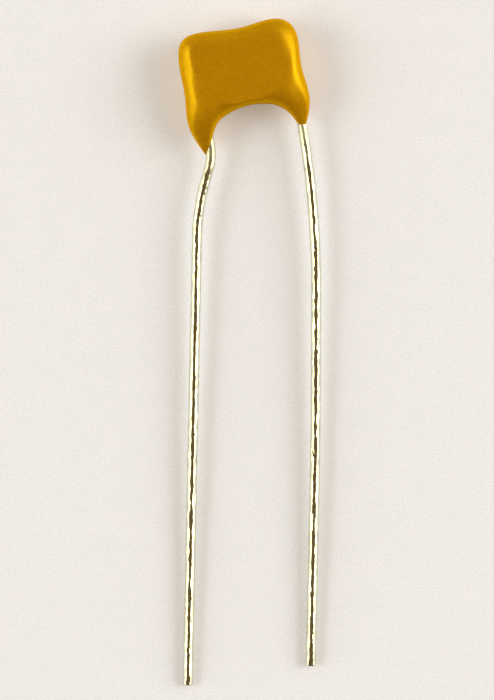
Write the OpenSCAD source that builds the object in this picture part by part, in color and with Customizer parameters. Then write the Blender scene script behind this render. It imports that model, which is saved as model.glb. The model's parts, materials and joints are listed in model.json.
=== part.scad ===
// Radial multilayer ceramic capacitor with a dipped epoxy coat, lying on its back.
//
// A block of ceramic holds two combs of metal plates. A plated cap on each end joins one comb,
// a solder fillet joins each cap to a round wire lead, and the lot is dipped in epoxy, which
// draws out into a drip down each lead.
//
// The body is drawn upright in its own frame: x along the block, y away from the leads and z
// across the plates, with the origin in the middle of the block. at_rest() then lays it down:
// +Z is up, the leads run towards -Y, the back of the coat and the tip of the longer lead touch
// z = 0, and the origin is under the middle of the part.

/* [Ceramic block] */
// Length of the block, from one end cap to the other
block_l = 3.2; // [2.9:0.1:3.5]
// Height of the block, along the leads
block_h = 1.6; // [1.3:0.1:1.8]
// Thickness of the block, across the plates
block_t = 1.15; // [0.95:0.05:1.3]

/* [Plates] */
// Thickness of one plate
plate_t = 0.02; // [0.01:0.005:0.03]
// Thickness of the ceramic between two plates
layer_t = 0.055; // [0.04:0.005:0.08]
// Least thickness of the bare ceramic over the outermost plates
cover_t = 0.14; // [0.1:0.01:0.2]
// Bare ceramic beside a plate
side_margin = 0.2; // [0.1:0.05:0.3]
// Bare ceramic between a plate's free end and the far cap
end_margin = 0.45; // [0.3:0.05:0.7]

/* [End caps] */
// Thickness of the plating
cap_t = 0.05; // [0.03:0.01:0.08]
// Reach of a cap along the block's faces
cap_band = 0.5; // [0.3:0.05:0.7]

/* [Leads] */
// Diameter of the tinned wire
wire_d = 0.43; // [0.38:0.01:0.5]
// Thickness of the solder film between a cap and its wire
solder_film = 0.085; // [0.05:0.005:0.12]
// Radius of the solder fillets beside a wire
fillet_r = 0.35; // [0.25:0.01:0.4]
// How far a wire stands past the top of the block
wire_past_block = 0.15; // [0.05:0.05:0.3]

/* [Left lead] */
// Straight stretch, from below the block to the kink
left_straight = 2.12; // [1.9:0.01:2.3]
// Radius of the kink under the coat
left_kink_r = 2.4; // [2:0.05:3.5]
// Angle of the kink, outwards
left_kink_a = 25.7; // [15:0.1:30]
// Slanting stretch after the kink
left_slant = 0.5; // [0.3:0.05:1]
// Radius of the bend back
left_return_r = 9.5; // [6:0.1:12]
// Angle of the bend back
left_return_a = 14.5; // [8:0.1:16]
// Straight stretch down to the tip
left_tail = 18.57; // [12:0.01:22]

/* [Right lead] */
// Straight stretch, from below the block to the first bend
right_straight = 2.44; // [2.2:0.01:2.6]
// Radius of the first bend, under the coat
right_kink_r = 15; // [10:1:20]
// Angle of the first bend, towards the other lead
right_kink_a = 2.4; // [2:0.1:5]
// Stretch between the first bend and the long one
right_slant = 0.5; // [0.3:0.05:1]
// Radius of the long bend
right_sweep_r = 39; // [30:1:60]
// Angle of the long bend
right_sweep_a = 7.8; // [4:0.1:8]
// Stretch between the long bend and the slight one
right_middle = 5.1; // [4:0.1:7]
// Radius of the slight bend, halfway down
right_slight_r = 130; // [90:5:150]
// Angle of the slight bend, halfway down
right_slight_a = 1; // [0.8:0.1:1.5]
// Straight stretch down to the tip
right_tail = 8.27; // [6:0.01:12]

/* [Epoxy coat] */
// Coat over each flat face of the block
coat_face = 0.42; // [0.3:0.01:0.6]
// Coat outside the left wire
coat_left = 0.52; // [0.4:0.01:0.7]
// Coat outside the right wire
coat_right = 0.2; // [0.15:0.01:0.4]
// Coat over the top of the block, at the dip between the shoulders
coat_top = 0.74; // [0.6:0.01:1]
// Coat under the block, at the crown of the arch
coat_arch = 0.8; // [0.6:0.01:1]
// Coat over the wires where the legs leave the body
coat_leg = 0.4; // [0.32:0.01:0.48]
// Reach of the left drip, below the block
left_drip = 2.63; // [2.5:0.01:2.75]
// Reach of the right drip, below the block
right_drip = 2.36; // [2.2:0.01:2.45]
// How far in from the sides the flat faces round off, along a rib
side_round = 2.3; // [1.8:0.05:2.6]
// How far in from the top edge they round off
top_round = 0.9; // [0.6:0.05:1.1]
// How far in from the arch they round off, at its crown
arch_round = 0.25; // [0.15:0.05:0.4]

/* [Resting place] */
// Lean of the body over its leads, seen from above
lean = 10; // [0:1:15]

/* [Hidden] */

// Which end of the block a piece belongs to
LEFT = -1;
RIGHT = 1;

// Colours
COAT = "#c98a06";
CERAMIC = "#8d7f70";
NICKEL = "#a9a596";
PLATING = "#c6c4bb";
SOLDER = "#b4b3ad";
TINNED = "#dad8cc";

// Where the pieces meet
wire_r = wire_d / 2;
cap_x = block_l / 2 + cap_t;
wire_x = cap_x + solder_film + wire_r;
cap_h = block_h + 2 * cap_t;
cap_z = block_t + 2 * cap_t;
wire_top = block_h / 2 + wire_past_block;

// The combs of plates
pitch = plate_t + layer_t;
plate_count = floor((block_t - 2 * cover_t + layer_t) / pitch);
stack_t = plate_count * pitch - layer_t;

// A bend stretches the wire a hair thinner, and the straight runs reach into the bends beside
// them by this much, so that a lead is one solid
bend_thinning = 0.006;
run_overlap = 0.08;

// ---------------------------------------------------------------- leads

// A route is a list of steps: a straight step is [length], a bend is [radius, angle].
// A route heads towards -y, and a positive angle turns it towards +x.
left_route = [
    [wire_top + block_h / 2 + left_straight],
    [left_kink_r, -left_kink_a],
    [left_slant],
    [left_return_r, left_return_a],
    [left_tail]
];
right_route = [
    [wire_top + block_h / 2 + right_straight],
    [right_kink_r, -right_kink_a],
    [right_slant],
    [right_sweep_r, -right_sweep_a],
    [right_middle],
    [right_slight_r, -right_slight_a],
    [right_tail]
];

function is_straight(step) = len(step) == 1;
function heading(a) = [sin(a), -cos(a)];
function left_of(a) = [cos(a), sin(a)];

// The place and heading [x, y, angle] after part of a step, where part runs from 0 to 1
function after(step, from, part = 1) =
    let (p = [from.x, from.y], a = from.z)
    is_straight(step)
        ? let (q = p + part * step[0] * heading(a)) [q.x, q.y, a]
        : let (
            turn = part * step[1],
            arm = sign(step[1]) * step[0],
            q = p + arm * left_of(a) - arm * left_of(a + turn)
        ) [q.x, q.y, a + turn];

// Places and headings along the whole route, some on every step
step_places = 8;
function places(route, from, i = 0) =
    i == len(route) ? [from] : concat(
        [for (k = [0 : step_places - 1]) after(route[i], from, k / step_places)],
        places(route, after(route[i], from), i + 1)
    );

function wire_start(side) = [side * wire_x, wire_top, 0];

// One straight run of wire from the origin towards -y, reaching past its ends
module run(length, before, beyond) {
    translate([0, before, 0])
        rotate([90, 0, 0])
            cylinder(d = wire_d, h = before + length + beyond, $fn = 48);
}

// One bend of wire from the origin, heading towards -y
module bend(radius, angle) {
    arm = sign(angle) * radius;
    translate([arm, 0, 0])
        rotate([0, 0, angle > 0 ? 180 : angle])
            rotate_extrude(angle = abs(angle), $fn = 720)
                translate([radius, 0])
                    circle(d = wire_d - bend_thinning, $fn = 48);
}

module wire(route, i = 0) {
    step = route[i];
    last = len(route) - 1;
    if (is_straight(step)) {
        run(step[0], i > 0 ? run_overlap : 0, i < last ? run_overlap : 0);
        if (i < last)
            translate([0, -step[0], 0])
                wire(route, i + 1);
    } else {
        arm = sign(step[1]) * step[0];
        bend(step[0], step[1]);
        translate([arm, 0, 0])
            rotate([0, 0, step[1]])
                translate([-arm, 0, 0])
                    wire(route, i + 1);
    }
}

module lead(side, route) {
    translate([side * wire_x, wire_top, 0])
        wire(route);
}

// ---------------------------------------------------------------- chip

// One plate of the stack, joined to the cap on its side; overrun carries it out past the block
module plate(side, index, overrun) {
    length = block_l - end_margin + overrun;
    translate([side * (block_l / 2 + overrun - length / 2), 0, index * pitch - (stack_t - plate_t) / 2])
        cube([length, block_h - 2 * side_margin, plate_t], center = true);
}

// Every other plate, starting with the lowest on the left
module comb(side, overrun = 0) {
    for (index = [side == LEFT ? 0 : 1 : 2 : plate_count - 1])
        plate(side, index, overrun);
}

module block() {
    difference() {
        cube([block_l, block_h, block_t], center = true);
        comb(LEFT, cap_t);
        comb(RIGHT, cap_t);
    }
}

// The outside of an end cap, filled
module cap_envelope(side) {
    reach = cap_band + cap_t;
    translate([side * (cap_x - reach / 2), 0, 0])
        cube([reach, cap_h, cap_z], center = true);
}

module cap(side) {
    difference() {
        cap_envelope(side);
        cube([block_l, block_h, block_t], center = true);
    }
}

// How far the fillets' hollows run into the cap and the wire, so that the solder ends in an edge
// with some body
bite = 0.03;

// Cross-section of the solder between a cap, at x = 0, and its wire: the corner beside the wire,
// hollowed by two round fillets
module fillets(cap_side) {
    gap = wire_x - cap_x;
    fillet_x = fillet_r - bite;
    fillet_z = sqrt(pow(fillet_r + wire_r - bite, 2) - pow(fillet_x - gap, 2));
    difference() {
        translate([cap_side, -fillet_z])
            square([gap - cap_side, 2 * fillet_z]);
        for (z = [-fillet_z, fillet_z])
            translate([fillet_x, z])
                circle(r = fillet_r, $fn = 64);
    }
}

module along_wire(side) {
    mirror([side == LEFT ? 1 : 0, 0, 0])
        translate([cap_x, 0, 0])
            rotate([90, 0, 0])
                linear_extrude(height = block_h, center = true)
                    children();
}

module solder(side) {
    along_wire(side)
        difference() {
            fillets(0);
            translate([wire_x - cap_x, 0])
                circle(d = wire_d, $fn = 48);
        }
}

// The solder's room in the coat, which runs on into the cap and the wire
module solder_envelope(side) {
    along_wire(side)
        fillets(-cap_t);
}

// ---------------------------------------------------------------- coat

// Landmarks of the outline
left_x = -(wire_x + wire_r + coat_left);
right_x = wire_x + wire_r + coat_right;
top_y = cap_h / 2 + coat_top;
arch_y = -(cap_h / 2 + coat_arch);
below = -block_h / 2;
left_tip = [-wire_x - wire_r, below - left_drip];
right_tip = [wire_x, below - right_drip];

// Half thicknesses of the body and of its legs
face_z = cap_z / 2 + coat_face;
leg_z = wire_r + coat_leg;

// How far in the faces round off elsewhere: tight over the two top corners, and wide towards the
// arch beside its crown, at the waist and inside the legs
corner_round = 0.4;
flank_round = 1.1;
waist_round = 1.6;
inside_leg_round = 1.1;
leg_round = 0.8;
drip_round = 0.5;

// The coat is lofted over ribs that reach from the outer edge to the arch, from the tip of the
// left drip over the top to the tip of the right one. These rows steer it, as the control points
// of a B-spline: outer edge x and y, arch edge x and y, half thickness, and how far in from the
// outer edge and from the arch the faces round off.
ribs = [
    // left tip, leg, waist, side and shoulder
    [left_tip.x, left_tip.y, left_tip.x, left_tip.y, 0, drip_round, drip_round],
    [left_x - 0.16, below - 1.28, -wire_x + 0.12, below - 1.95, leg_z, leg_round, inside_leg_round],
    [left_x + 0.12, below - 0.07, -wire_x + 0.42, arch_y - 0.42, face_z, 0.7 * side_round, waist_round],
    [left_x - 0.02, below + 1.3, -wire_x + 0.9, arch_y - 0.2, face_z, side_round, flank_round],
    [left_x + 0.2, top_y + 0.17, -0.65, arch_y - 0.06, face_z, corner_round, arch_round],
    // top edge, over the crown of the arch, with its dip in the middle
    [-0.93, top_y + 0.06, -0.25, arch_y + 0.01, face_z, top_round, arch_round],
    [0.24, top_y - 0.07, 0.15, arch_y + 0.03, face_z, top_round, arch_round],
    [1.77, top_y + 0.32, 0.55, arch_y - 0.02, face_z, corner_round, arch_round],
    // right shoulder, waist, leg and tip
    [right_x + 0.19, below + 1.9, 0.9, arch_y - 0.1, face_z, side_round, flank_round],
    [right_x - 0.15, below + 0.36, wire_x - 0.7, arch_y - 0.28, face_z, 0.5 * side_round, waist_round],
    [right_x + 0.26, below - 0.98, wire_x - 0.3, arch_y - 0.72, leg_z, corner_round, inside_leg_round],
    [right_tip.x, right_tip.y, right_tip.x, right_tip.y, 0, drip_round, drip_round]
];

// Uniform cubic B-spline through rows of numbers, at u from 0 to len(rows) - 1. It starts on
// the first row and ends on the last, because a row is made up beyond each end.
function row_at(rows, i) =
    i < 0 ? 2 * rows[0] - rows[1] :
    i >= len(rows) ? 2 * rows[len(rows) - 1] - rows[len(rows) - 2] :
    rows[i];
function b_spline(rows, u) =
    let (i = min(floor(u), len(rows) - 2), f = u - i, g = 1 - f)
    (g * g * g * row_at(rows, i - 1)
    + (3 * f * f * f - 6 * f * f + 4) * row_at(rows, i)
    + (3 * g * g * g - 6 * g * g + 4) * row_at(rows, i + 1)
    + f * f * f * row_at(rows, i + 2)) / 6;

// Share of the full thickness at a distance from an edge: a superellipse whose shoulder dies out
// softly in the flat face and whose wall stands steep at the edge
shoulder_power = 2.5;
wall_power = 3.5;
function shoulder(distance, reach) =
    pow(max(0, 1 - pow(1 - min(distance / reach, 1), shoulder_power)), 1 / wall_power);

// Both roundings shrink alike, and smoothly, where a rib is too narrow for them
fit_power = 6;
function fit(crowding) = pow(1 + pow(crowding, fit_power), -1 / fit_power);

// How finely the coat is divided
rib_steps = 56;
edge_steps = 6;
flat_steps = 3;

// How far in from an edge each step of its rounding lies, as a share of the whole. The steps
// crowd towards the edge, where the wall is steep.
edge_crowding = 1.25;
function stepped(k) = 1 - pow(cos(90 * pow(k / edge_steps, edge_crowding)), 2 / shoulder_power);

// Distances from the outer edge at which a rib is drawn
function along(width, outer, inner) = concat(
    [for (k = [0 : edge_steps]) outer * stepped(k)],
    [for (k = [1 : flat_steps - 1]) outer + (width - outer - inner) * k / flat_steps],
    [for (k = [edge_steps : -1 : 0]) width - inner * stepped(k)]
);

// Points on the front face of one rib, from the outer edge to the arch
function rib_points(row) =
    let (
        start = [row[0], row[1]],
        end = [row[2], row[3]],
        width = norm(end - start),
        shrink = fit((row[5] + row[6]) / width),
        outer = shrink * row[5],
        inner = shrink * row[6]
    )
    [for (d = along(width, outer, inner))
        let (p = start + (end - start) * d / width)
        [p.x, p.y, row[4] * shoulder(d, outer) * shoulder(width - d, inner)]];

front = [for (i = [1 : rib_steps - 1]) rib_points(b_spline(ribs, i * (len(ribs) - 1) / rib_steps))];
across = len(front[0]);
around = 2 * across - 2;

// A whole ring: the front face, then back along the mirrored one
function ring(points) = concat(
    points,
    [for (k = [across - 2 : -1 : 1]) [points[k].x, points[k].y, -points[k].z]]
);

module coat_skin() {
    rings = [for (points = front) ring(points)];
    count = len(rings);
    first = count * around;
    last = first + 1;
    polyhedron(
        points = concat(
            [for (r = rings, p = r) p],
            [[left_tip.x, left_tip.y, 0], [right_tip.x, right_tip.y, 0]]
        ),
        faces = concat(
            [for (k = [0 : around - 1]) [first, (k + 1) % around, k]],
            [for (i = [0 : count - 2], k = [0 : around - 1])
                let (a = i * around + k, b = i * around + (k + 1) % around)
                [a, b, b + around]],
            [for (i = [0 : count - 2], k = [0 : around - 1])
                let (a = i * around + k, b = i * around + (k + 1) % around)
                [a, b + around, a + around]],
            [for (k = [0 : around - 1])
                [last, (count - 1) * around + k, (count - 1) * around + (k + 1) % around]]
        )
    );
}

// ---------------------------------------------------------------- resting place

// Points of the coat's back and of a lead's tip, as [y, z] before the part is tipped
function turned(p) = [p.x * cos(lean) - p.y * sin(lean), p.x * sin(lean) + p.y * cos(lean)];
back = [for (r = front, p = r) [turned(p).y, -p.z]];

function lean_place(side) = let (p = turned(wire_start(side))) [p.x, p.y, lean];
left_places = places(left_route, lean_place(LEFT));
right_places = places(right_route, lean_place(RIGHT));
left_end = left_places[len(left_places) - 1];
right_end = right_places[len(right_places) - 1];

lead_ends = [for (p = [left_end, right_end]) [p.y - wire_r * abs(sin(p.z)), -wire_r]];

function height(p, tip) = p[0] * sin(tip) + p[1] * cos(tip);
function lowest(points, tip) = min([for (p = points) height(p, tip)]);

// The angle at which the coat and the longer lead's tip are equally low, by halving
steepest_tip = 10;
halvings = 24;
function tipped(low, high, tries) =
    let (middle = (low + high) / 2)
    tries == 0 ? middle :
    lowest(back, middle) < lowest(lead_ends, middle)
        ? tipped(middle, high, tries - 1)
        : tipped(low, middle, tries - 1);
tip_angle = tipped(0, steepest_tip, halvings);

// Middle of the part as seen from above, and its lowest level
reach_x = concat(
    [for (r = front, p = r) turned(p).x],
    [for (p = left_places) p.x - wire_r * cos(p.z)],
    [for (p = right_places) p.x + wire_r * cos(p.z)]
);
reach_y = concat(
    [for (r = front, p = r) turned(p).y * cos(tip_angle) + abs(p.z) * sin(tip_angle)],
    [for (p = lead_ends) p[0] * cos(tip_angle)]
);
middle = [(min(reach_x) + max(reach_x)) / 2, (min(reach_y) + max(reach_y)) / 2];
floor_z = lowest(concat(back, lead_ends), tip_angle);

module at_rest() {
    translate([-middle.x, -middle.y, -floor_z])
        rotate([tip_angle, 0, 0])
            rotate([0, 0, lean])
                children();
}

// ---------------------------------------------------------------- nodes

module epoxy_coat() {
    color(COAT)
        at_rest()
            difference() {
                coat_skin();
                cube([block_l, block_h, block_t], center = true);
                cap_envelope(LEFT);
                cap_envelope(RIGHT);
                solder_envelope(LEFT);
                solder_envelope(RIGHT);
                lead(LEFT, left_route);
                lead(RIGHT, right_route);
            }
}

module ceramic_block() {
    color(CERAMIC) at_rest() block();
}

module electrodes(side) {
    color(NICKEL) at_rest() comb(side);
}

module termination(side) {
    color(PLATING) at_rest() cap(side);
}

module solder_joint(side) {
    color(SOLDER) at_rest() solder(side);
}

module lead_wire(side, route) {
    color(TINNED) at_rest() lead(side, route);
}

epoxy_coat();
ceramic_block();
electrodes(LEFT);  // electrodes_left
electrodes(RIGHT);  // electrodes_right
termination(LEFT);  // termination_left
termination(RIGHT);  // termination_right
solder_joint(LEFT);  // solder_left
solder_joint(RIGHT);  // solder_right
lead_wire(LEFT, left_route);  // lead_left
lead_wire(RIGHT, right_route);  // lead_right
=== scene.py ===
"""Dressed model of a dipped ceramic capacitor, lying on a sheet of white paper.

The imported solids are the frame. The epoxy coat and the two wire leads are made again here as
fine meshes: the run and the waviness of the epoxy, the lumps of the tinning, the nicks and the
cut ends of the wires. The chip inside keeps its solids and gets its finishes. Sizes are in
millimetres until a mesh is made, and then in metres.
"""

import json
import logging
import math
from dataclasses import dataclass, field
from enum import Enum

import bmesh
import bpy
import numpy as np
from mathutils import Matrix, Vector, noise

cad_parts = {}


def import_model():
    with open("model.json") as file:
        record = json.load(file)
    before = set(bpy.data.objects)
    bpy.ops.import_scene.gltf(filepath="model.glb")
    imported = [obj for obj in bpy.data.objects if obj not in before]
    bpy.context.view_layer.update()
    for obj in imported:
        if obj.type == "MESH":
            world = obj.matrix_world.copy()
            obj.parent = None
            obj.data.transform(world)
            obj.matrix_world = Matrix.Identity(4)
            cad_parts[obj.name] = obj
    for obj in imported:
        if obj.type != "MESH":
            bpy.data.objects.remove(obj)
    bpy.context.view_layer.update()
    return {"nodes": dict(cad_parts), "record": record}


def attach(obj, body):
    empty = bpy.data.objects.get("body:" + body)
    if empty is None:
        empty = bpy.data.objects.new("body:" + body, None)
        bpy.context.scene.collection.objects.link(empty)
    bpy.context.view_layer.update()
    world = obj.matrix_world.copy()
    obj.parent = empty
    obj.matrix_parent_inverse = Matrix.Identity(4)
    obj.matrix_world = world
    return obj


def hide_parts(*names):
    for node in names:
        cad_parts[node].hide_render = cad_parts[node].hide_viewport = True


MM = 0.001
NOISE_SPAN = (0.3, 0.7)
NEVER_ZERO = 0.00001
BEVEL_TURNS = np.radians([30, 60, 90])
log = logging.getLogger("capacitor")

Colour = tuple[float, float, float]
Value = bpy.types.NodeSocket | float
Tone = bpy.types.NodeSocket | Colour


class Side(Enum):
    """An end of the chip, by the word that stands in the names of its pieces."""

    LEFT = "left"
    RIGHT = "right"


# ------------------------------------------------------------------------------ design


@dataclass(frozen=True)
class Straight:
    """A straight stretch of wire, in millimetres."""

    length: float


@dataclass(frozen=True)
class Bend:
    """A round bend of wire: radius in millimetres and angle in degrees, positive towards +x."""

    radius: float
    angle: float


@dataclass(frozen=True)
class Chip:
    """Sizes of the ceramic chip and of what is soldered to it, in millimetres."""

    length: float = 3.2
    height: float = 1.6
    thickness: float = 1.15
    cap: float = 0.05
    solder_film: float = 0.085
    wire_radius: float = 0.215
    wire_past: float = 0.15

    @property
    def wire_x(self) -> float:
        """Distance of each wire's axis from the middle of the chip."""
        return self.length / 2 + self.cap + self.solder_film + self.wire_radius

    @property
    def cap_height(self) -> float:
        """Height of the chip over its end caps."""
        return self.height + 2 * self.cap

    @property
    def cap_thickness(self) -> float:
        """Thickness of the chip over its end caps."""
        return self.thickness + 2 * self.cap

    @property
    def wire_top(self) -> float:
        """Level of the wires' upper ends."""
        return self.height / 2 + self.wire_past


CHIP = Chip()


def turn_matrix(axis: int, angle: float) -> np.ndarray:
    """Matrix of a turn about one axis.

    Args:
        axis: 0 for x or 2 for z.
        angle: Angle in radians.

    Returns:
        A 3 by 3 matrix.
    """
    c, s = math.cos(angle), math.sin(angle)
    if axis == 0:
        return np.array([[1, 0, 0], [0, c, -s], [0, s, c]])
    return np.array([[c, -s, 0], [s, c, 0], [0, 0, 1]])


@dataclass(frozen=True)
class Route:
    """The way of a wire from its upper end, in the body's plane."""

    start: tuple[float, float]
    steps: tuple[Straight | Bend, ...]

    def length(self) -> float:
        """Length of the wire along its axis."""
        return sum(self._step_length(step) for step in self.steps)

    @staticmethod
    def _step_length(step: Straight | Bend) -> float:
        """Length of one step along the axis.

        Args:
            step: A straight stretch or a bend.

        Returns:
            Its length in millimetres.
        """
        if isinstance(step, Straight):
            return step.length
        return step.radius * math.radians(abs(step.angle))

    @property
    def tail(self) -> float:
        """Length of the last straight stretch."""
        return self._step_length(self.steps[-1])

    def at(self, distance: float) -> tuple[float, float, float]:
        """Place and heading at a distance along the wire.

        Args:
            distance: Distance from the upper end, in millimetres.

        Returns:
            x, y and the heading in radians, where 0 heads towards -y.
        """
        x, y, a = self.start[0], self.start[1], 0.0
        for step in self.steps:
            whole = self._step_length(step)
            part = min(distance, whole)
            if isinstance(step, Straight):
                x += part * math.sin(a)
                y -= part * math.cos(a)
            else:
                arm = math.copysign(step.radius, step.angle)
                b = a + part / arm
                x += arm * (math.cos(a) - math.cos(b))
                y += arm * (math.sin(a) - math.sin(b))
                a = b
            distance -= part
            if distance <= 0:
                break
        return x, y, a


LEFT_ROUTE = Route(
    (-CHIP.wire_x, CHIP.wire_top),
    (
        Straight(CHIP.wire_top + CHIP.height / 2 + 2.12),
        Bend(2.4, -25.7),
        Straight(0.5),
        Bend(9.5, 14.5),
        Straight(18.57),
    ),
)
RIGHT_ROUTE = Route(
    (CHIP.wire_x, CHIP.wire_top),
    (
        Straight(CHIP.wire_top + CHIP.height / 2 + 2.44),
        Bend(15.0, -2.4),
        Straight(0.5),
        Bend(39.0, -7.8),
        Straight(5.1),
        Bend(130.0, -1.0),
        Straight(8.27),
    ),
)


@dataclass(frozen=True)
class RestPose:
    """How the part lies: leaned over its leads, tipped onto its back, and set on the paper."""

    turn: np.ndarray
    shift: np.ndarray

    @classmethod
    def from_record(cls, record: dict) -> "RestPose":
        """Works the pose out from the place and direction of the left lead's mount.

        Args:
            record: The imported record.

        Returns:
            The pose.
        """
        mount = next(m for m in record["mounts"] if m["name"] == "pin_left")
        axis = np.array(mount["axis"], float)
        x, y, heading = LEFT_ROUTE.at(LEFT_ROUTE.length() - LEFT_ROUTE.tail / 2)
        tip = math.atan2(-axis[2], -axis[1])
        lean = math.asin(axis[0]) - heading
        turn = turn_matrix(0, tip) @ turn_matrix(2, lean)
        shift = np.array(mount["pos_m"], float) / MM - turn @ np.array([x, y, 0.0])
        return cls(turn, shift)

    def place(self, points: np.ndarray) -> np.ndarray:
        """Body points in millimetres, taken to the row frame in metres."""
        return (points @ self.turn.T + self.shift) * MM


# ------------------------------------------------------------------------------ meshes


def smooth_noise(points: np.ndarray, scale: float, seed: float) -> np.ndarray:
    """Smooth noise at points.

    Args:
        points: Points in millimetres, one to a row.
        scale: Size of a lump, in millimetres.
        seed: Offset that tells one noise from another.

    Returns:
        Values from about -1 to 1.
    """
    offset = Vector((seed, seed * 1.7, -seed))
    return np.array([noise.noise(Vector(p) / scale + offset) for p in points])


def mesh_object(name: str, points: np.ndarray, faces: list[tuple[int, ...]]) -> bpy.types.Object:
    """A new object with a smooth-shaded mesh.

    Args:
        name: Name of the object and of its mesh.
        points: Points in metres, one to a row.
        faces: Corners of each face, outwards.

    Returns:
        The object, linked to the scene.
    """
    mesh = bpy.data.meshes.new(name)
    mesh.from_pydata(points.tolist(), [], faces)
    mesh.polygons.foreach_set("use_smooth", [True] * len(mesh.polygons))
    mesh.validate()
    mesh.update()
    obj = bpy.data.objects.new(name, mesh)
    bpy.context.scene.collection.objects.link(obj)
    return obj


def join_close_points(mesh: bpy.types.Mesh, distance_mm: float) -> None:
    """Joins points of a mesh that lie closer together than a distance, and drops flat faces.

    Args:
        mesh: The mesh to mend.
        distance_mm: Distance in millimetres.
    """
    shape = bmesh.new()
    shape.from_mesh(mesh)
    bmesh.ops.remove_doubles(shape, verts=shape.verts, dist=distance_mm * MM)
    bmesh.ops.dissolve_degenerate(shape, edges=shape.edges, dist=distance_mm * MM)
    shape.to_mesh(mesh)
    shape.free()
    mesh.update()


def tube_faces(rings: int, around: int) -> list[tuple[int, ...]]:
    """Four-sided faces between the rings of a tube, ring after ring.

    Args:
        rings: Number of rings.
        around: Number of points in a ring.

    Returns:
        The corners of each face.
    """
    faces = []
    for i in range(rings - 1):
        for k in range(around):
            a, b = i * around + k, i * around + (k + 1) % around
            faces.append((a, b, b + around, a + around))
    return faces


# ------------------------------------------------------------------------------ materials


class Graph:
    """A material's or world's node tree, with short calls that add and join nodes."""

    def __init__(self, tree: bpy.types.NodeTree) -> None:
        """Empties the tree."""
        self.tree = tree
        tree.nodes.clear()

    def add(self, kind: str, inputs: dict | None = None, **settings: object) -> bpy.types.Node:
        """Adds a node.

        Args:
            kind: Blender's name for the node's type.
            inputs: What goes into its sockets: a value, or another node's output.
            **settings: Properties of the node.

        Returns:
            The node.
        """
        node = self.tree.nodes.new(kind)
        for key, value in settings.items():
            setattr(node, key, value)
        for key, value in (inputs or {}).items():
            if isinstance(value, bpy.types.NodeSocket):
                self.tree.links.new(value, node.inputs[key])
            else:
                node.inputs[key].default_value = value
        return node

    def math(self, operation: str, *values: Value) -> bpy.types.NodeSocket:
        """Output of a Math node on numbers or outputs."""
        inputs = dict(enumerate(values))
        return self.add("ShaderNodeMath", inputs, operation=operation).outputs[0]

    def ramp(self, value: Value, low: float, high: float, to_low: float = 0.0,
             to_high: float = 1.0) -> bpy.types.NodeSocket:
        """Output of a Map Range node that eases from one range to another.

        Args:
            value: What is read.
            low: Value at which the ramp starts.
            high: Value at which it ends.
            to_low: Result up to the start.
            to_high: Result from the end on.

        Returns:
            The node's output.
        """
        node = self.add(
            "ShaderNodeMapRange",
            {"Value": value, "From Min": low, "From Max": high, "To Min": to_low, "To Max": to_high},
            interpolation_type="SMOOTHSTEP",
        )
        return node.outputs[0]

    def mix(self, factor: Value, first: Tone, second: Tone) -> bpy.types.NodeSocket:
        """Output of a colour Mix node.

        Args:
            factor: Share of the second colour.
            first: Colour at share 0.
            second: Colour at share 1.

        Returns:
            The mixed colour.
        """
        node = self.add("ShaderNodeMix", data_type="RGBA")
        pairs = ((node.inputs[0], factor), (node.inputs[6], first), (node.inputs[7], second))
        for socket, value in pairs:
            if isinstance(value, bpy.types.NodeSocket):
                self.tree.links.new(value, socket)
            elif isinstance(value, (int, float)):
                socket.default_value = value
            else:
                socket.default_value = (*value, 1.0)
        return node.outputs[2]

    def noise(self, where: bpy.types.NodeSocket, size_mm: float, detail: float = 2.0,
              rough: float = 0.5) -> bpy.types.NodeSocket:
        """Factor of a Noise texture.

        Args:
            where: Object coordinates.
            size_mm: Size of a lump, in millimetres.
            detail: How many finer layers there are.
            rough: How strong each finer layer is beside the one before.

        Returns:
            Values from 0 to 1.
        """
        node = self.add(
            "ShaderNodeTexNoise",
            {"Vector": where, "Scale": 1 / (size_mm * MM), "Detail": detail, "Roughness": rough},
        )
        return node.outputs["Fac"]

    def speck(self, grain: bpy.types.NodeSocket, strength: float) -> bpy.types.NodeSocket:
        """A noise made stronger and spread evenly about zero."""
        return self.math("MULTIPLY_ADD", grain, strength, -0.5 * strength)

    def facing(self) -> bpy.types.NodeSocket:
        """How far the surface turns away from the eye: 0 face on and 1 edge on."""
        return self.add("ShaderNodeLayerWeight", {"Blend": 0.5}).outputs["Facing"]

    def bump(self, height: Value, depth_mm: float,
             below: bpy.types.NodeSocket | None = None) -> bpy.types.NodeSocket:
        """Normal of a Bump node of full strength.

        Args:
            height: Height at each point, from 0 to 1.
            depth_mm: What a height of 1 stands for, in millimetres.
            below: Another normal, which this one lies on.

        Returns:
            The normal.
        """
        inputs = {"Height": height, "Strength": 1.0, "Distance": depth_mm * MM}
        if below is not None:
            inputs["Normal"] = below
        return self.add("ShaderNodeBump", inputs).outputs[0]

    def where(self) -> bpy.types.NodeSocket:
        """Object coordinates."""
        return self.add("ShaderNodeTexCoord").outputs["Object"]

    def attribute(self, name: str) -> bpy.types.NodeSocket:
        """A number stored on the mesh's points."""
        return self.add("ShaderNodeAttribute", attribute_name=name).outputs["Fac"]

    def blend(self, share: Value, first: bpy.types.Node, second: bpy.types.Node) -> bpy.types.Node:
        """A Mix Shader node that holds a share of the second shader."""
        inputs = {0: share, 1: first.outputs[0], 2: second.outputs[0]}
        return self.add("ShaderNodeMixShader", inputs)

    def surface(self, shader: bpy.types.Node) -> None:
        """Joins a shader to the output."""
        out = self.add("ShaderNodeOutputMaterial")
        self.tree.links.new(shader.outputs[0], out.inputs["Surface"])


def new_material(name: str) -> tuple[bpy.types.Material, Graph]:
    """A new material with an empty node tree.

    Args:
        name: Name of the material.

    Returns:
        The material and the graph of its nodes.
    """
    material = bpy.data.materials.new(name)
    material.use_nodes = True
    return material, Graph(material.node_tree)


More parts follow.
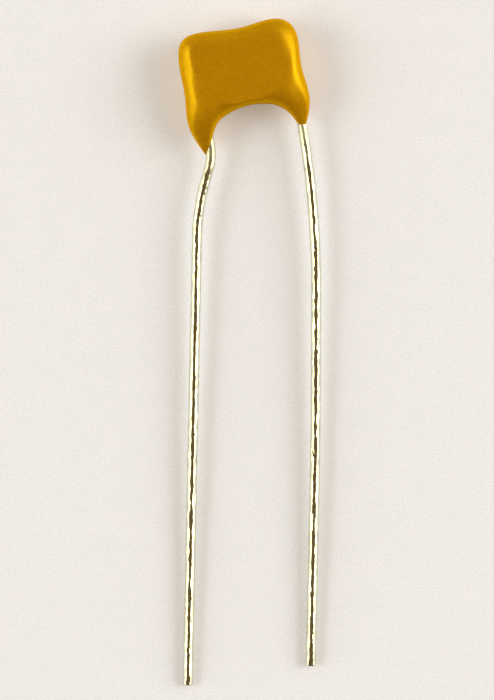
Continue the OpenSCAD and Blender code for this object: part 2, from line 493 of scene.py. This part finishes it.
@dataclass(frozen=True)
class EpoxyFinish:
    """Glossy golden dipping epoxy, with a faint mottle, orange peel and a painted rim light."""

    deep: Colour = (0.362, 0.124, 0.0006)
    light: Colour = (0.474, 0.205, 0.0016)
    # The edge tone is painted rim light: a lighter gold where the coat turns edge-on, in place of
    # light caught at its outline.
    edge: Colour = (0.580, 0.285, 0.0020)
    gloss: Colour = (1.0, 0.70, 0.01)
    gloss_share: float = 0.095
    roughness: tuple[float, float] = (0.25, 0.31)
    satin: Colour = (1.0, 0.58, 0.008)
    satin_share: float = 0.21
    satin_roughness: float = 0.53
    painted_rim_facing: tuple[float, float] = (0.35, 0.65)
    cloud_mm: float = 1.3
    cloud_share: tuple[float, float] = (0.4, 0.6)
    dull_mm: float = 0.3
    speckle: float = 3.0
    peel_mm: float = 0.55
    peel_depth_mm: float = 0.0018
    grain_mm: float = 0.045
    grain_depth_mm: float = 0.0003

    def make(self) -> bpy.types.Material:
        """Builds the material."""
        material, g = new_material("dipped_epoxy")
        where = g.where()
        cloud = g.ramp(g.noise(where, self.cloud_mm, 3.0), *NOISE_SPAN, *self.cloud_share)
        grain = g.noise(where, self.grain_mm, 2.0, 0.6)
        tone = g.mix(g.math("ADD", cloud, g.speck(grain, self.speckle)), self.deep, self.light)
        # Painted rim light: the colour lightens to the edge tone as the surface turns edge-on.
        tone = g.mix(g.ramp(g.facing(), *self.painted_rim_facing), tone, self.edge)
        rough = g.ramp(g.noise(where, self.dull_mm, 3.0), *NOISE_SPAN, *self.roughness)
        peel = g.bump(g.noise(where, self.peel_mm, 1.0), self.peel_depth_mm)
        skin = g.bump(grain, self.grain_depth_mm, peel)
        shader = g.add(
            "ShaderNodeBsdfPrincipled",
            {"Base Color": tone, "Roughness": rough, "Normal": skin, "Specular IOR Level": 0.0},
        )
        for share, gold, dull in (
            (self.satin_share, (*self.satin, 1.0), self.satin_roughness),
            (self.gloss_share, (*self.gloss, 1.0), rough),
        ):
            sheen = g.add(
                "ShaderNodeBsdfPrincipled",
                {"Base Color": gold, "Metallic": 1.0, "Roughness": dull, "Normal": skin,
                 "Specular Tint": gold},
            )
            shader = g.blend(share, shader, sheen)
        g.surface(shader)
        return material


@dataclass(frozen=True)
class TinFinish:
    """Hot-tinned copper wire: bright, a little lumpy, duller where the epoxy was near."""

    bright: Colour = (0.48, 0.468, 0.295)
    warm: Colour = (0.46, 0.44, 0.255)
    # The edge tone is a painted rim reflection: a lighter, creamier colour where the wire turns
    # edge-on.
    edge: Colour = (0.82, 0.79, 0.66)
    # The nicks' dark colour: partly tarnish, partly painted shade in their hollows.
    tarnish_and_shade: Colour = (0.10, 0.065, 0.03)
    roughness: tuple[float, float] = (0.06, 0.13)
    frosted_roughness: float = 0.30
    painted_rim_facing: tuple[float, float] = (0.25, 0.5)
    cloud_mm: float = 0.35
    dull_mm: float = 0.12
    frost_mm: float = 0.09
    frost_height: float = 3.0
    grain_mm: float = 0.05
    grain_depth_mm: float = 0.0007

    def make(self) -> bpy.types.Material:
        """Builds the material, which reads the points' frost and stain."""
        material, g = new_material("tinned_copper")
        where = g.where()
        frost = g.attribute("frost")
        cloud = g.ramp(g.noise(where, self.cloud_mm), *NOISE_SPAN)
        tone = g.mix(cloud, self.bright, self.warm)
        # Painted rim reflection: the colour lightens to the edge tone as the wire turns edge-on.
        tone = g.mix(g.ramp(g.facing(), *self.painted_rim_facing), tone, self.edge)
        # Nicks darkened by colour: tarnish, and painted shade in their hollows.
        tone = g.mix(g.attribute("tarnish_and_shade"), tone, self.tarnish_and_shade)
        rough = g.ramp(g.noise(where, self.dull_mm, 3.0), *NOISE_SPAN, *self.roughness)
        rough = g.math("ADD", rough, g.math("MULTIPLY", frost, self.frosted_roughness))
        grain = g.noise(where, self.grain_mm, 3.0, 0.6)
        height = g.math("MULTIPLY", frost, self.frost_height)
        lumps = g.math("MULTIPLY", g.noise(where, self.frost_mm), height)
        skin = g.bump(g.math("ADD", grain, lumps), self.grain_depth_mm)
        shader = g.add(
            "ShaderNodeBsdfPrincipled",
            {"Base Color": tone, "Metallic": 1.0, "Roughness": rough, "Normal": skin},
        )
        g.surface(shader)
        return material


@dataclass(frozen=True)
class ChipFinish:
    """A mineral or metal finish for a piece of the chip, mottled and slightly rough."""

    name: str
    dark: Colour
    pale: Colour
    metallic: float
    roughness: tuple[float, float]
    cloud_mm: float
    grain_mm: float
    grain_depth_mm: float

    def make(self) -> bpy.types.Material:
        """Builds the material."""
        material, g = new_material(self.name)
        where = g.where()
        cloud = g.ramp(g.noise(where, self.cloud_mm, 3.0), *NOISE_SPAN)
        grain = g.noise(where, self.grain_mm)
        rough = g.ramp(grain, *NOISE_SPAN, *self.roughness)
        shader = g.add(
            "ShaderNodeBsdfPrincipled",
            {
                "Base Color": g.mix(cloud, self.dark, self.pale),
                "Metallic": self.metallic,
                "Roughness": rough,
                "Normal": g.bump(grain, self.grain_depth_mm),
            },
        )
        g.surface(shader)
        return material


@dataclass(frozen=True)
class PaperFinish:
    """White writing paper, with a faint warm mottle and a fine tooth."""

    shade: Colour = (0.820, 0.838, 0.855)
    pale: Colour = (0.931, 0.934, 0.947)
    cloud_mm: float = 1.1
    cloud_span: tuple[float, float] = (0.35, 0.65)
    cloud_share: tuple[float, float] = (0.42, 0.58)
    speckle: float = 4.4
    speckle_mm: float = 0.08
    tooth_mm: float = 0.16
    tooth_depth_mm: float = 0.004
    roughness: float = 0.9
    specular: float = 0.2
    glow: Colour = (0.93, 0.84, 0.70)
    glow_share: float = 0.25

    def make(self) -> bpy.types.Material:
        """Builds the material."""
        material, g = new_material("white_paper")
        where = g.where()
        cloud = g.noise(where, self.cloud_mm, 4.0, 0.6)
        cloud = g.ramp(cloud, *self.cloud_span, *self.cloud_share)
        tooth = g.noise(where, self.tooth_mm, 3.0, 0.6)
        fine = g.noise(where, self.speckle_mm, 2.0, 0.6)
        tone = g.mix(g.math("ADD", cloud, g.speck(fine, self.speckle)), self.shade, self.pale)
        sheet = g.add(
            "ShaderNodeBsdfPrincipled",
            {
                "Base Color": tone,
                "Roughness": self.roughness,
                "Specular IOR Level": self.specular,
                "Normal": g.bump(tooth, self.tooth_depth_mm),
            },
        )
        glow = g.add("ShaderNodeEmission", {"Color": (*self.glow, 1.0), "Strength": 1.0})
        seen = g.add("ShaderNodeLightPath").outputs["Is Camera Ray"]
        g.surface(g.blend(g.math("MULTIPLY", seen, self.glow_share), sheet, glow))
        return material


# ------------------------------------------------------------------------------ epoxy coat


@dataclass
class EpoxyCoat:
    """The dipped coat: ribs from its outer edge to the arch, lofted from drip to drip."""

    face: float = 0.42
    left: float = 0.52
    right: float = 0.2
    top: float = 0.74
    arch: float = 0.8
    leg: float = 0.4
    left_drip: float = 2.63
    right_drip: float = 2.36
    side_round: float = 2.3
    top_round: float = 0.9
    arch_round: float = 0.25
    corner_round: float = 0.4
    leg_round: float = 0.8
    inside_leg_round: float = 1.1
    waist_round: float = 1.6
    flank_round: float = 1.1
    drip_round: float = 0.5
    fit_power: float = 6.0
    edge_crowding: float = 1.25
    shoulder_power: float = 2.5
    wall_power: float = 3.5
    rib_steps: int = 220
    edge_steps: int = 22
    flat_steps: int = 12
    ripple_mm: float = 0.004
    ripple_sizes: tuple[float, float] = (1.1, 0.5)
    ripple_shares: tuple[float, float] = (1.0, 0.5)
    ripple_seeds: tuple[float, float] = (3.0, 8.0)
    ripple_inset: float = 1.0
    joined_mm: float = 0.0005
    finish: EpoxyFinish = field(default_factory=EpoxyFinish)

    def ribs(self) -> np.ndarray:
        """Control rows of the loft, from the left drip to the right one.

        Returns:
            In each row: outer edge x and y, arch edge x and y, half thickness, and how far in
            from the outer edge and from the arch the face is rounded.
        """
        c = CHIP
        left_x = -(c.wire_x + c.wire_radius + self.left)
        right_x = c.wire_x + c.wire_radius + self.right
        top_y = c.cap_height / 2 + self.top
        arch_y = -(c.cap_height / 2 + self.arch)
        below = -c.height / 2
        wire = c.wire_x
        left_tip = (-wire - c.wire_radius, below - self.left_drip)
        right_tip = (wire, below - self.right_drip)
        face = c.cap_thickness / 2 + self.face
        leg = c.wire_radius + self.leg
        side, top, arch = self.side_round, self.top_round, self.arch_round
        corner, inside, drip = self.corner_round, self.inside_leg_round, self.drip_round
        waist, flank = self.waist_round, self.flank_round
        return np.array([
            [*left_tip, *left_tip, 0, drip, drip],
            [left_x - 0.16, below - 1.28, -wire + 0.12, below - 1.95, leg, self.leg_round, inside],
            [left_x + 0.12, below - 0.07, -wire + 0.42, arch_y - 0.42, face, 0.7 * side, waist],
            [left_x - 0.02, below + 1.3, -wire + 0.9, arch_y - 0.2, face, side, flank],
            [left_x + 0.2, top_y + 0.17, -0.65, arch_y - 0.06, face, corner, arch],
            [-0.93, top_y + 0.06, -0.25, arch_y + 0.01, face, top, arch],
            [0.24, top_y - 0.07, 0.15, arch_y + 0.03, face, top, arch],
            [1.77, top_y + 0.32, 0.55, arch_y - 0.02, face, corner, arch],
            [right_x + 0.19, below + 1.9, 0.9, arch_y - 0.1, face, side, flank],
            [right_x - 0.15, below + 0.36, wire - 0.7, arch_y - 0.28, face, 0.5 * side, waist],
            [right_x + 0.26, below - 0.98, wire - 0.3, arch_y - 0.72, leg, corner, inside],
            [*right_tip, *right_tip, 0, drip, drip],
        ])

    @staticmethod
    def b_spline(rows: np.ndarray, u: float) -> np.ndarray:
        """A row of the uniform cubic B-spline that starts and ends on the end rows.

        Args:
            rows: Control rows.
            u: Place along the spline, from 0 to the last row's number.

        Returns:
            The row at u.
        """
        made = np.vstack([2 * rows[0] - rows[1], rows, 2 * rows[-1] - rows[-2]])
        i = min(int(u), len(rows) - 2)
        f = u - i
        g = 1 - f
        weights = np.array([g ** 3, 3 * f ** 3 - 6 * f * f + 4, 3 * g ** 3 - 6 * g * g + 4, f ** 3])
        return weights @ made[i:i + 4] / 6

    def shoulder(self, distance: np.ndarray, reach: float) -> np.ndarray:
        """Share of the full thickness near an edge.

        Args:
            distance: Distances from the edge.
            reach: Distance at which the face is flat.

        Returns:
            A share for each distance, from 0 to 1.
        """
        share = 1 - np.minimum(distance / reach, 1)
        return np.maximum(0, 1 - share ** self.shoulder_power) ** (1 / self.wall_power)

    def rib(self, row: np.ndarray) -> np.ndarray:
        """Points on the front face of one rib.

        Args:
            row: The rib's row of the loft.

        Returns:
            Points from the outer edge to the arch, one to a row.
        """
        start, end = row[:2], row[2:4]
        width = float(np.linalg.norm(end - start))
        crowding = (row[5] + row[6]) / width
        fit = (1 + crowding ** self.fit_power) ** (-1 / self.fit_power)
        outer, inner = row[5] * fit, row[6] * fit
        turn = (np.arange(self.edge_steps + 1) / self.edge_steps) ** self.edge_crowding
        rise = 1 - np.abs(np.cos(turn * math.pi / 2)) ** (2 / self.shoulder_power)
        flat = np.arange(1, self.flat_steps) / self.flat_steps
        d = np.concatenate([
            outer * rise,
            outer + (width - outer - inner) * flat,
            width - inner * rise[::-1],
        ])
        z = row[4] * self.shoulder(d, outer) * self.shoulder(width - d, inner)
        share = d[:, None] / width
        return np.hstack([start + (end - start) * share, z[:, None]])

    def build(self, pose: RestPose) -> bpy.types.Object:
        """Makes the coat's mesh and dresses it.

        Args:
            pose: How the part lies.

        Returns:
            The coat.
        """
        rows = self.ribs()
        last = len(rows) - 1
        rings = []
        for i in range(1, self.rib_steps):
            front = self.rib(self.b_spline(rows, i * last / self.rib_steps))
            back = front[-2:0:-1] * np.array([1, 1, -1])
            rings.append(np.vstack([front, back]))
        around = len(rings[0])
        points = np.vstack(rings + [[*rows[0][:2], 0], [*rows[-1][:2], 0]])
        points = self.rippled(points)
        faces = tube_faces(len(rings), around)
        first = len(rings) * around
        end = (len(rings) - 1) * around
        for k in range(around):
            faces.append((first, (k + 1) % around, k))
            faces.append((first + 1, end + k, end + (k + 1) % around))
        coat = mesh_object("epoxy_coat_dipped", pose.place(points), faces)
        join_close_points(coat.data, self.joined_mm)
        coat.data.materials.append(self.finish.make())
        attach(coat, "root")
        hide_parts("epoxy_coat")
        return coat

    def rippled(self, points: np.ndarray) -> np.ndarray:
        """Points moved in and out across the plates by the slight waviness of the dip.

        Args:
            points: Points in millimetres, one to a row.

        Returns:
            The moved points.
        """
        waves = zip(self.ripple_sizes, self.ripple_shares, self.ripple_seeds)
        wave = sum(share * smooth_noise(points, size, seed) for size, share, seed in waves)
        depth = np.abs(points[:, 2]) / points[:, 2].max()
        moved = points.copy()
        moved[:, 2] += np.sign(points[:, 2]) * (wave - self.ripple_inset) * self.ripple_mm * depth
        return moved


# ------------------------------------------------------------------------------ leads


@dataclass(frozen=True)
class Nick:
    """A short groove or pit in the tinning.

    Its place is the distance from the wire's tip and the angle around the wire. The slant is
    how far it drifts around the wire for each millimetre along it.
    """

    from_end: float
    around_deg: float
    length: float
    width: float
    slant: float
    depth: float
    # How dark the nick is coloured: tarnish, and painted shade in its hollow.
    tarnish_and_shade: float


@dataclass
class LeadWire:
    """One tinned wire: lumpy tinning, its nicks, and a cut end."""

    side: Side
    route: Route
    nicks: tuple[Nick, ...]
    seed: float
    frost_from: float
    frost_reach: float = 1.5
    sides: int = 60
    spacing: float = 0.032
    lump_mm: float = 0.012
    lump_along: float = 0.42
    lump_around: float = 0.17
    lump_inset: float = 0.2
    fine_size: float = 0.45
    fine_share: float = 0.6
    fine_seed: float = 5.0
    bevel: float = 0.035
    pinch: float = 0.12
    pinch_reach: float = 0.3
    finish: TinFinish = field(default_factory=TinFinish)

    def radius(self, s: np.ndarray, angle: np.ndarray) -> np.ndarray:
        """Radius of the tinned surface.

        Args:
            s: Distances along the wire, in millimetres.
            angle: Angles around it, in radians.

        Returns:
            A radius for each pair, in millimetres.
        """
        r = CHIP.wire_radius
        place = np.stack(
            [s / self.lump_along, r * np.cos(angle) / self.lump_around,
             r * np.sin(angle) / self.lump_around], axis=1)
        fine = smooth_noise(place, self.fine_size, self.seed + self.fine_seed)
        lumps = smooth_noise(place, 1.0, self.seed) + self.fine_share * fine
        made = r + self.lump_mm * (lumps - self.lump_inset)
        for nick in self.nicks:
            made -= nick.depth * self.nick_share(nick, s, angle)
        return made

    def nick_share(self, nick: Nick, s: np.ndarray, angle: np.ndarray) -> np.ndarray:
        """How much of a nick's depth is felt at each point.

        Args:
            nick: The nick.
            s: Distances along the wire, in millimetres.
            angle: Angles around it, in radians.

        Returns:
            A share for each pair, from 0 to 1.
        """
        along = s - (self.route.length() - nick.from_end)
        turn = (angle - math.radians(nick.around_deg) + math.pi) % (2 * math.pi) - math.pi
        across = CHIP.wire_radius * turn - nick.slant * along
        return np.exp(-((across / nick.width) ** 2) - (along / nick.length) ** 4)

    def build(self, pose: RestPose) -> bpy.types.Object:
        """Makes the wire's mesh and dresses it.

        Args:
            pose: How the part lies.

        Returns:
            The wire.
        """
        length = self.route.length()
        count = int((length - self.bevel) / self.spacing)
        s = np.concatenate([
            np.linspace(0, length - self.bevel, count),
            length - self.bevel * (1 - np.sin(BEVEL_TURNS)),
        ])
        shrink = np.ones(len(s))
        shrink[-len(BEVEL_TURNS):] = 1 - self.bevel * (1 - np.cos(BEVEL_TURNS)) / CHIP.wire_radius
        angles = np.arange(self.sides) * 2 * math.pi / self.sides
        ss, aa = np.repeat(s, self.sides), np.tile(angles, len(s))
        rr = self.radius(ss, aa) * np.repeat(shrink, self.sides)
        where = np.array([self.route.at(d) for d in s])
        axis = np.repeat(where[:, :2], self.sides, axis=0)
        heading = np.repeat(where[:, 2], self.sides)
        flat = 1 - self.pinch * np.exp(-((length - ss) / self.pinch_reach) ** 2)
        across = rr * np.cos(aa)
        points = np.stack([
            axis[:, 0] + across * np.cos(heading),
            axis[:, 1] + across * np.sin(heading),
            rr * np.sin(aa) * flat,
        ], axis=1)
        middles = [[*where[0, :2], 0.0], [*where[-1, :2], 0.0]]
        rings = len(s)
        faces = [tuple(reversed(f)) for f in tube_faces(rings, self.sides)]
        first = rings * self.sides
        end = (rings - 1) * self.sides
        for k in range(self.sides):
            n = (k + 1) % self.sides
            faces.append((first, k, n))
            faces.append((first + 1, end + n, end + k))
        node = f"lead_{self.side.value}"
        lead = mesh_object(f"{node}_tinned", pose.place(np.vstack([points, middles])), faces)
        self.mark(lead, ss, aa)
        lead.data.materials.append(self.finish.make())
        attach(lead, "root")
        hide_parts(node)
        return lead

    def mark(self, lead: bpy.types.Object, s: np.ndarray, angle: np.ndarray) -> None:
        """Stores how frosted each point is, and how dark its nicks are coloured: tarnish, and painted
        shade in their hollows.

        Args:
            lead: The wire.
            s: Distances of its points along the wire, in millimetres.
            angle: Their angles around it, in radians.
        """
        frost = np.clip(1 - (s - self.frost_from) / self.frost_reach, 0, 1)
        # Dark colour in the nicks: tarnish, and painted shade in their hollows.
        tarnish_and_shade = np.zeros(len(s))
        for nick in self.nicks:
            tarnish_and_shade = np.maximum(tarnish_and_shade, nick.tarnish_and_shade * self.nick_share(nick, s, angle))
        for name, values in (("frost", frost), ("tarnish_and_shade", tarnish_and_shade)):
            data = lead.data.attributes.new(name, "FLOAT", "POINT").data
            data.foreach_set("value", [*values, 0.0, 0.0])


# ------------------------------------------------------------------------------ chip inside


@dataclass
class InnerChip:
    """The fired chip, its plates, end caps and solder, which keep their solids."""

    ceramic: ChipFinish = ChipFinish(
        "fired_ceramic", (0.20, 0.155, 0.115), (0.36, 0.30, 0.24), 0.0, (0.5, 0.75), 0.5, 0.04, 0.004)
    plates: ChipFinish = ChipFinish(
        "nickel_plates", (0.36, 0.34, 0.29), (0.52, 0.50, 0.44), 1.0, (0.3, 0.5), 0.3, 0.03, 0.001)
    caps: ChipFinish = ChipFinish(
        "plated_caps", (0.50, 0.48, 0.43), (0.66, 0.64, 0.60), 1.0, (0.3, 0.5), 0.4, 0.04, 0.002)
    joints: ChipFinish = ChipFinish(
        "solder", (0.42, 0.41, 0.39), (0.60, 0.59, 0.57), 1.0, (0.2, 0.4), 0.3, 0.05, 0.003)

    def dress(self, nodes: dict[str, bpy.types.Object]) -> None:
        """Gives each inner solid its finish.

        Args:
            nodes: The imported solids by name.
        """
        wanted = {
            "ceramic_block": self.ceramic,
            "electrodes_": self.plates,
            "termination_": self.caps,
            "solder_": self.joints,
        }
        for start, finish in wanted.items():
            material = finish.make()
            for name, obj in nodes.items():
                if name.startswith(start):
                    obj.data.materials.clear()
                    obj.data.materials.append(material)
                    log.info("dressed %s in %s", name, finish.name)


# ------------------------------------------------------------------------------ studio


@dataclass
class PaperFloor:
    """The sheet of paper that the part lies on."""

    half: float = 900.0
    finish: PaperFinish = field(default_factory=PaperFinish)

    def build(self) -> bpy.types.Object:
        """Makes the sheet and lays it under the part."""
        h = self.half * MM
        points = np.array([[-h, -h, 0], [h, -h, 0], [h, h, 0], [-h, h, 0]])
        floor = mesh_object("paper_floor", points, [(0, 1, 2, 3)])
        floor.data.materials.append(self.finish.make())
        return floor


@dataclass(frozen=True)
class SoftBox:
    """A large soft lamp, by its direction from the part. Its size and distance are in metres."""

    name: str
    bearing: tuple[float, float, float]
    size: tuple[float, float]
    watts: float
    tint: Colour
    distance: float = 0.8

    def build(self) -> bpy.types.Object:
        """Makes the lamp, aimed at the part."""
        data = bpy.data.lights.new(self.name, "AREA")
        data.shape = "RECTANGLE"
        data.size, data.size_y = self.size
        data.energy = self.watts
        data.color = self.tint
        lamp = bpy.data.objects.new(self.name, data)
        way = Vector(self.bearing).normalized()
        lamp.location = way * self.distance
        lamp.rotation_mode = "QUATERNION"
        lamp.rotation_quaternion = way.to_track_quat("Z", "Y")
        bpy.context.scene.collection.objects.link(lamp)
        return lamp


@dataclass
class Studio:
    """Soft light from both sides, and dim overhead.

    The sky's brightness depends on its direction from the part. Two wide lobes glow at the
    sides, turned a little from the x axis by lobe_left and lobe_right. The ends glow less, and
    an oval overhead is dim, with the half widths dim_x, dim_front and dim_back.
    """

    side_glow: float = 2.52
    back_glow: float = 0.54
    front_glow: float = 0.09
    lobe: tuple[float, float] = (0.38, 0.52)
    lobe_left: float = -0.08
    lobe_right: float = 0.16
    overhead: Colour = (0.25, 0.172, 0.112)
    tint: Colour = (1.0, 0.99, 0.975)
    dim_x: float = 0.63
    dim_front: float = 0.8
    dim_back: float = 0.6
    dim_rim: tuple[float, float] = (0.93, 1.07)
    side_seam: float = 0.05
    end_seam: float = 0.3
    dim_seam: float = 0.02
    boxes: tuple[SoftBox, ...] = (
        SoftBox("softbox_left", (-0.72, -0.08, 0.69), (0.44, 0.24), 1.01, (0.98, 1.0, 0.96)),
        SoftBox("softbox_right", (0.79, 0.06, 0.60), (0.42, 0.5), 2.12, (1.0, 0.985, 0.975)),
    )

    def build(self) -> None:
        """Sets the world and the lamps."""
        world = bpy.data.worlds.new("studio")
        world.use_nodes = True
        bpy.context.scene.world = world
        g = Graph(world.node_tree)
        split = g.add("ShaderNodeSeparateXYZ", {0: g.add("ShaderNodeTexCoord").outputs["Generated"]})
        x, y = split.outputs[0], split.outputs[1]
        xx, yy = g.math("MULTIPLY", x, x), g.math("MULTIPLY", y, y)
        spread = g.math("SQRT", g.math("ADD", g.math("ADD", xx, yy), NEVER_ZERO))
        aim = g.ramp(x, -self.side_seam, self.side_seam, self.lobe_left, self.lobe_right)
        endways = g.math("ABSOLUTE", g.math("SUBTRACT", g.math("DIVIDE", y, spread), aim))
        sideways = g.ramp(endways, *self.lobe, 1.0, 0.0)
        ends = g.ramp(y, -self.end_seam, self.end_seam, self.front_glow, self.back_glow)
        glow = g.math("ADD", g.math("MULTIPLY", sideways, self.side_glow),
                      g.math("MULTIPLY", g.math("SUBTRACT", 1.0, sideways), ends))
        dim_y = g.ramp(y, -self.dim_seam, self.dim_seam, self.dim_front ** 2, self.dim_back ** 2)
        reach = g.math("SQRT", g.math("ADD", g.math("DIVIDE", xx, self.dim_x ** 2),
                                      g.math("DIVIDE", yy, dim_y)))
        clear = g.ramp(reach, *self.dim_rim)
        lit = g.add("ShaderNodeVectorMath", {0: self.tint}, operation="SCALE")
        g.tree.links.new(glow, lit.inputs["Scale"])
        sky = g.mix(clear, self.overhead, lit.outputs[0])
        back = g.add("ShaderNodeBackground", {"Color": sky, "Strength": 1.0})
        out = g.add("ShaderNodeOutputWorld")
        g.tree.links.new(back.outputs[0], out.inputs["Surface"])
        for box in self.boxes:
            box.build()


@dataclass
class CopyCamera:
    """A camera that looks straight down on the part.

    Its centre, level and field height are in millimetres on the part, and its clip distances
    are in metres.
    """

    centre: tuple[float, float] = (-0.118, 0.105)
    level: float = 0.6
    field_height: float = 29.05
    lens: float = 300.0
    sensor: float = 36.0
    clip: tuple[float, float] = (0.001, 10.0)

    def build(self) -> bpy.types.Object:
        """Makes the camera and sets it as the scene's."""
        data = bpy.data.cameras.new("copy_camera")
        data.lens = self.lens
        data.sensor_width = self.sensor
        data.clip_start, data.clip_end = self.clip
        camera = bpy.data.objects.new("copy_camera", data)
        distance = self.field_height * self.lens / self.sensor
        camera.location = Vector((*self.centre, self.level + distance)) * MM
        bpy.context.scene.collection.objects.link(camera)
        bpy.context.scene.camera = camera
        return camera


# ------------------------------------------------------------------------------ the scene


def main() -> None:
    """Builds the part, the paper, the light and the camera, and logs the face counts of the coat and
    the leads.
    """
    logging.basicConfig(level=logging.INFO, format="%(name)s: %(message)s")
    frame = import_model()
    pose = RestPose.from_record(frame["record"])
    scene = bpy.context.scene
    scene.view_settings.view_transform = "Standard"

    CopyCamera().build()
    coat = EpoxyCoat().build(pose)
    log.info("built %s: %d faces", coat.name, len(coat.data.polygons))
    left_nicks = (
        Nick(from_end=9.67, around_deg=120, length=0.12, width=0.03, slant=0.0, depth=0.006,
             tarnish_and_shade=0.2),
    )
    right_nicks = (
        Nick(from_end=8.93, around_deg=118, length=0.2, width=0.035, slant=-0.55, depth=0.02,
             tarnish_and_shade=0.25),
        Nick(from_end=17.36, around_deg=84, length=0.09, width=0.028, slant=-0.25, depth=0.016,
             tarnish_and_shade=0.9),
    )
    leads = (
        LeadWire(Side.LEFT, LEFT_ROUTE, left_nicks, seed=11.0, frost_from=4.2),
        LeadWire(Side.RIGHT, RIGHT_ROUTE, right_nicks, seed=37.0, frost_from=4.1),
    )
    for lead in leads:
        made = lead.build(pose)
        log.info("built %s: %d faces", made.name, len(made.data.polygons))
    InnerChip().dress(frame["nodes"])
    PaperFloor().build()
    Studio().build()


if __name__ == "__main__":
    main()
